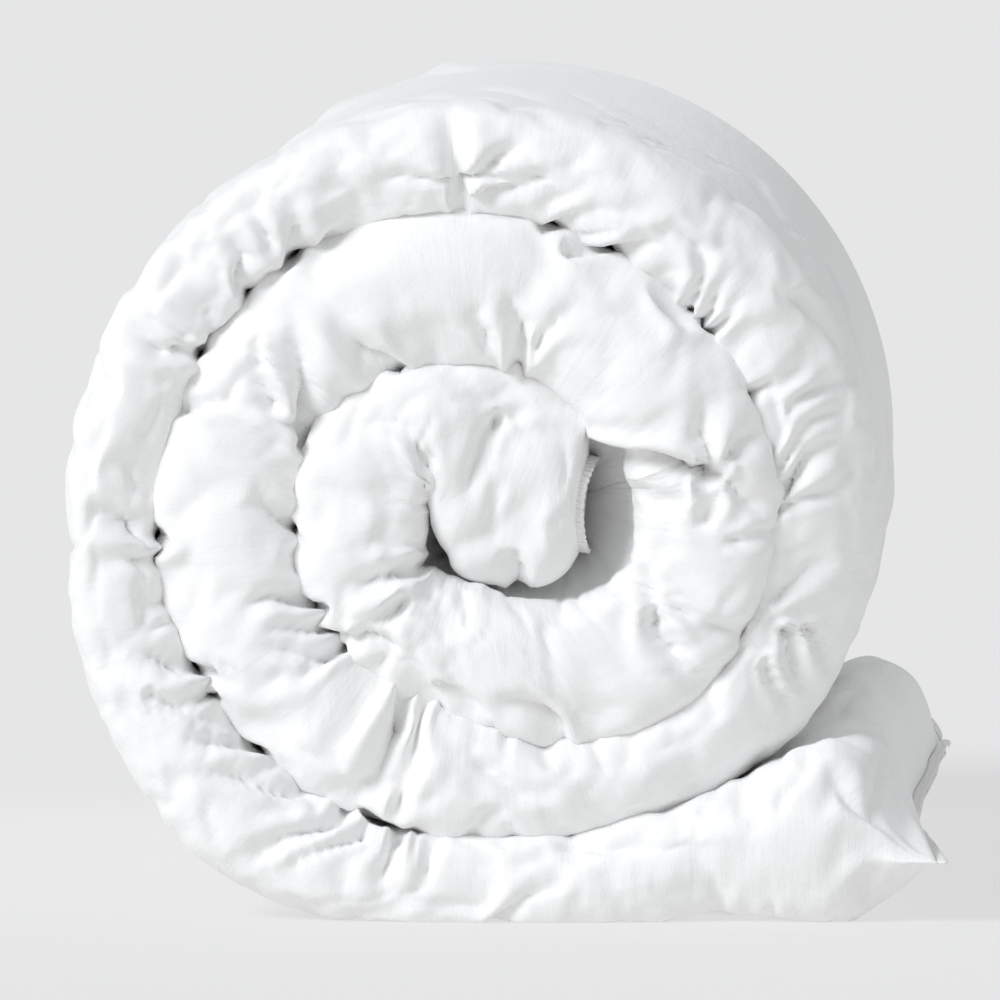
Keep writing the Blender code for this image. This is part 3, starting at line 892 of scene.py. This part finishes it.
def down_material(name):
    """White down: soft clumps."""
    material = bpy.data.materials.new(name)
    material.use_nodes = True
    tree = material.node_tree
    shader = tree.nodes["Principled BSDF"]
    shader.inputs["Roughness"].default_value = 0.95
    shader.inputs["Sheen Weight"].default_value = 0.5
    place = node(tree, "ShaderNodeAttribute", attribute_name="weave")
    clumps = node(tree, "ShaderNodeTexNoise", Scale=120.0, Detail=6.0, Roughness=0.7)
    ramp = node(tree, "ShaderNodeValToRGB")
    ramp.color_ramp.elements[0].color = (0.84, 0.82, 0.78, 1)
    ramp.color_ramp.elements[1].color = (0.95, 0.94, 0.92, 1)
    bump = node(tree, "ShaderNodeBump", Strength=1.0, Distance=0.002)
    tree.links.new(place.outputs["Vector"], clumps.inputs["Vector"])
    tree.links.new(clumps.outputs["Fac"], ramp.inputs["Fac"])
    tree.links.new(ramp.outputs["Color"], shader.inputs["Base Color"])
    tree.links.new(clumps.outputs["Fac"], bump.inputs["Height"])
    tree.links.new(bump.outputs["Normal"], shader.inputs["Normal"])
    return material


# ---- the duvet ----------------------------------------------------------------------

def lengths_around(grid):
    """Length along each ring of the grid, from its first point."""
    step = np.linalg.norm(np.diff(grid, axis=1), axis=2)
    return np.concatenate([np.zeros((len(grid), 1)), np.cumsum(step, axis=1)], axis=1)


grid, outer, inner, length, places = shape_cloth()
around = lengths_around(grid)
along = np.repeat(length[:, None], grid.shape[1], axis=1)
seam = int(np.searchsorted(places, place_of(SEAM_ANGLE)))
hinge_at = int(np.searchsorted(places, place_of(HINGE_ANGLE)))

face_cotton = cotton("face_cotton", (0.935, 0.934, 0.932), (0.91, 0.908, 0.903))
hem_thread = thread_material("hem_thread")
down = down_material("down_fill")
cambric = cotton("baffle_cambric", (0.9, 0.9, 0.88), (0.86, 0.85, 0.83), 0.85, 0.1)

normals = grid_normals(grid)
cover_tail = cloth_mesh("duvet_cover_tail", grid[:seam + 1], along[:seam + 1],
                        around[:seam + 1], normals[:seam + 1])
cover_roll = cloth_mesh("duvet_cover_roll", grid[seam:], along[seam:],
                        around[seam:], normals[seam:])
for piece in (cover_tail, cover_roll):
    piece.data.materials.append(face_cotton)

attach(cover_roll, "roll")
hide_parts("face_cover_roll", "back_cover_roll")
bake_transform(cover_tail)
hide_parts("face_cover_tail", "back_cover_tail")


def add_side_hem(name, column, first, last):
    """The sewn edge of one ply: a strip that follows the edge's puckers."""
    path = grid[first:last, column].copy()
    s = length[first:last]
    lean = field(s * 40, 0 * s, 0 * s + column, 41) * 0.35
    way = (inner - outer)[first:last]
    way = way / np.linalg.norm(way, axis=1, keepdims=True)
    out = np.column_stack([way[:, 0] * lean, np.ones(len(s)), way[:, 1] * lean])
    out /= np.linalg.norm(out, axis=1, keepdims=True)
    strip = ribbon(name, path, out, HEM_HALF, HEM - 0.001, 0.0004, 0.003)
    strip.data.materials.append(hem_thread)
    return strip


for ply, column in (("outer", HEM_OUTER * FINER), ("inner", HEM_INNER * FINER)):
    strip = add_side_hem(f"hem_{ply}_side_tail", column, 0, seam + 1)
    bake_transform(strip)
    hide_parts(f"side_hem_{ply}_tail")
    strip = add_side_hem(f"hem_{ply}_side_roll", column, seam, len(grid))
    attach(strip, "roll")
    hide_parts(f"side_hem_{ply}_roll")


def drawn_together(path, apart):
    """A folded strip's two legs, brought to a share of their distance apart."""
    fold = int(np.argmin(path[:, 1]))
    y = path[:, 1]
    out = path.copy()
    for axis in (0, 2):
        one = np.interp(y, y[:fold + 1][::-1], path[:fold + 1, axis][::-1])
        other = np.interp(y, y[fold:], path[fold:, axis])
        out[:, axis] += (1 - apart) * ((one + other) / 2 - path[:, axis])
    return out


def add_end_hem(name, ring, onward, body, replaced, width, scallop, set_back, apart):
    """A sewn end: a strip that follows the section of the duvet and stands off its end."""
    path = drawn_together(ring[HEM_OUTER * FINER:HEM_INNER * FINER + 1], apart)
    path[:, 1] += set_back * np.exp(-(path[:, 1] - FRONT) / 0.03)
    y = path[:, 1]
    wave = field(y * 26, 0 * y, 0 * y, 43)
    out = np.tile([onward[0], 0.0, onward[1]], (len(path), 1))
    out += np.outer(wave, [-onward[1] * 0.22, 0.0, onward[0] * 0.22])
    out /= np.linalg.norm(out, axis=1, keepdims=True)
    strip = ribbon(name, path, out, HEM_HALF, width, scallop, 0.0038)
    strip.data.materials.append(hem_thread)
    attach(strip, body)
    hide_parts(replaced)


core_way = inner[-1] - outer[-1]
core_across = core_way / np.linalg.norm(core_way)
core_onward = np.array([-core_across[1], core_across[0]])
add_end_hem("hem_end_tail", grid[0], (1, 0), "tail", "end_hem_tail",
            width=HEM - 0.0055, scallop=0.0004, set_back=0.003, apart=0.5)
add_end_hem("hem_end_core", grid[-1], core_onward, "roll", "end_hem_core",
            width=HEM - 0.0062, scallop=0.0008, set_back=0.006, apart=1.0)


def add_down(name, centre_share, first, last, body, nodes):
    """The down in one ply: a long soft pad that fills the middle of the ply."""
    count = max(int((last - first) / 7), 4)
    picks = np.unique(np.linspace(first, last - 1, count).astype(int))
    turn = np.linspace(0, 2 * math.pi, 28, endpoint=False)
    middle = (FRONT + REAR) / 2
    reach = (REAR - FRONT) / 2 - 0.05
    rows = []
    for i in picks:
        way = inner[i] - outer[i]
        ds = centre_share + 0.05 * np.sign(np.sin(turn)) * np.abs(np.sin(turn)) ** 0.5
        y = middle + reach * np.sign(np.cos(turn)) * np.abs(np.cos(turn)) ** 0.35
        rows.append(np.column_stack([outer[i][0] + way[0] * ds, y, outer[i][1] + way[1] * ds]))
    rows = np.array(rows)
    s = np.repeat(length[picks][:, None], len(turn), axis=1)
    pad = cloth_mesh(name, rows, s, lengths_around(rows))
    pad.data.materials.append(down)
    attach(pad, body)
    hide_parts(*nodes)


all_nodes = sorted(frame["nodes"])
tail_nodes = set(frame["record"]["behaviour"]["bodies"]["tail"])
down_from = int(np.searchsorted(length, DOWN_TAIL_GAP))
down_to = int(np.searchsorted(length, length[-1] - DOWN_CORE_GAP))
PLIES = (("outer", 0.31, ("outer", "fold")), ("inner", 0.69, ("inner",)))
for ply, centre_share, words in PLIES:
    mine = [n for n in all_nodes if n.startswith("down") and any(w in n for w in words)]
    add_down(f"down_{ply}_tail", centre_share, down_from, hinge_at - 3, "tail",
             [n for n in mine if n in tail_nodes])
    add_down(f"down_{ply}_roll", centre_share, hinge_at + 3, down_to, "roll",
             [n for n in mine if n not in tail_nodes])


def add_baffle(node_name):
    """A strip of cambric that parts two rows of down, in the outer ply."""
    low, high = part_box(node_name)
    middle = (np.array(low) + np.array(high)) / 2
    centres = (outer + inner) / 2
    i = int(np.argmin(np.hypot(centres[:, 0] - middle[0], centres[:, 1] - middle[2])))
    y = np.linspace(FRONT + 0.06, REAR - 0.07, 60)
    way = inner[i] - outer[i]
    at = outer[i] + way * 0.24
    path = np.column_stack([np.full(len(y), at[0]), y, np.full(len(y), at[1])])
    size = np.linalg.norm(way)
    out = np.tile([way[0] / size, 0.0, way[1] / size], (len(y), 1))
    strip = ribbon(node_name + "_strip", path, out, 0.0003, size * 0.14)
    strip.data.materials.append(cambric)
    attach(strip, "roll")
    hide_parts(node_name)


for name in all_nodes:
    if name.startswith("baffle"):
        add_baffle(name)


# ---- floor, light and camera ---------------------------------------------------------

FLOOR_TONE = 0.28           # grey of the floor, which is lit a little from within
FLOOR_GLOW = 0.549
SKY_STRENGTH = 0.56
KEY_STRENGTH = 1.88
KEY_WIDTH = 24.0            # degrees: a broad, soft light
KEY_FROM = (-0.66, -0.56, 0.58)
VIEW_AZIMUTH = 2.0
VIEW_ELEVATION = 3.6
VIEW_DISTANCE = 8.57
VIEW_FIELD = 0.445          # width of the picture at the fold, in metres


def add_stage():
    """A plain pale floor without an edge."""
    work = bmesh.new()
    for x, y in ((-15, -10), (15, -10), (15, 30), (-15, 30)):
        work.verts.new((x, y, 0.0))
    work.faces.new(work.verts[:])
    mesh = bpy.data.meshes.new("floor")
    work.to_mesh(mesh)
    work.free()
    floor = bpy.data.objects.new("floor", mesh)
    bpy.context.scene.collection.objects.link(floor)
    material = bpy.data.materials.new("floor_paper")
    material.use_nodes = True
    shader = material.node_tree.nodes["Principled BSDF"]
    shader.inputs["Base Color"].default_value = (FLOOR_TONE, FLOOR_TONE, FLOOR_TONE, 1)
    shader.inputs["Emission Color"].default_value = (1.0, 0.995, 0.99, 1)
    shader.inputs["Emission Strength"].default_value = FLOOR_GLOW
    shader.inputs["Roughness"].default_value = 1.0
    shader.inputs["Specular IOR Level"].default_value = 0.0
    mesh.materials.append(material)


def add_light():
    """Soft daylight from all round, and a broad light from the upper left."""
    world = bpy.data.worlds.new("studio")
    world.use_nodes = True
    background = world.node_tree.nodes["Background"]
    background.inputs["Color"].default_value = (0.965, 0.985, 1.0, 1)
    background.inputs["Strength"].default_value = SKY_STRENGTH
    bpy.context.scene.world = world
    data = bpy.data.lights.new("key", "SUN")
    data.energy = KEY_STRENGTH
    data.angle = math.radians(KEY_WIDTH)
    data.color = (0.935, 0.965, 1.0)
    key = bpy.data.objects.new("key", data)
    key.rotation_euler = Vector(KEY_FROM).to_track_quat("Z", "Y").to_euler()
    bpy.context.scene.collection.objects.link(key)


def add_camera():
    """Almost end on, a little above and to the right, from far away with a long lens."""
    azimuth = math.radians(VIEW_AZIMUTH)
    elevation = math.radians(VIEW_ELEVATION)
    target = Vector((CENTRE[0] + 0.0089, float(FRONT), CENTRE[1] + 0.0067))
    back = Vector((math.sin(azimuth) * math.cos(elevation),
                   -math.cos(azimuth) * math.cos(elevation), math.sin(elevation)))
    data = bpy.data.cameras.new("camera")
    data.sensor_width = 36.0
    data.lens = data.sensor_width * VIEW_DISTANCE / VIEW_FIELD
    data.clip_end = 100
    camera = bpy.data.objects.new("camera", data)
    camera.location = target + back * VIEW_DISTANCE
    camera.rotation_euler = back.to_track_quat("Z", "Y").to_euler()
    bpy.context.scene.collection.objects.link(camera)
    bpy.context.scene.camera = camera


add_stage()
add_light()
add_camera()
bpy.context.scene.view_settings.view_transform = "Standard"
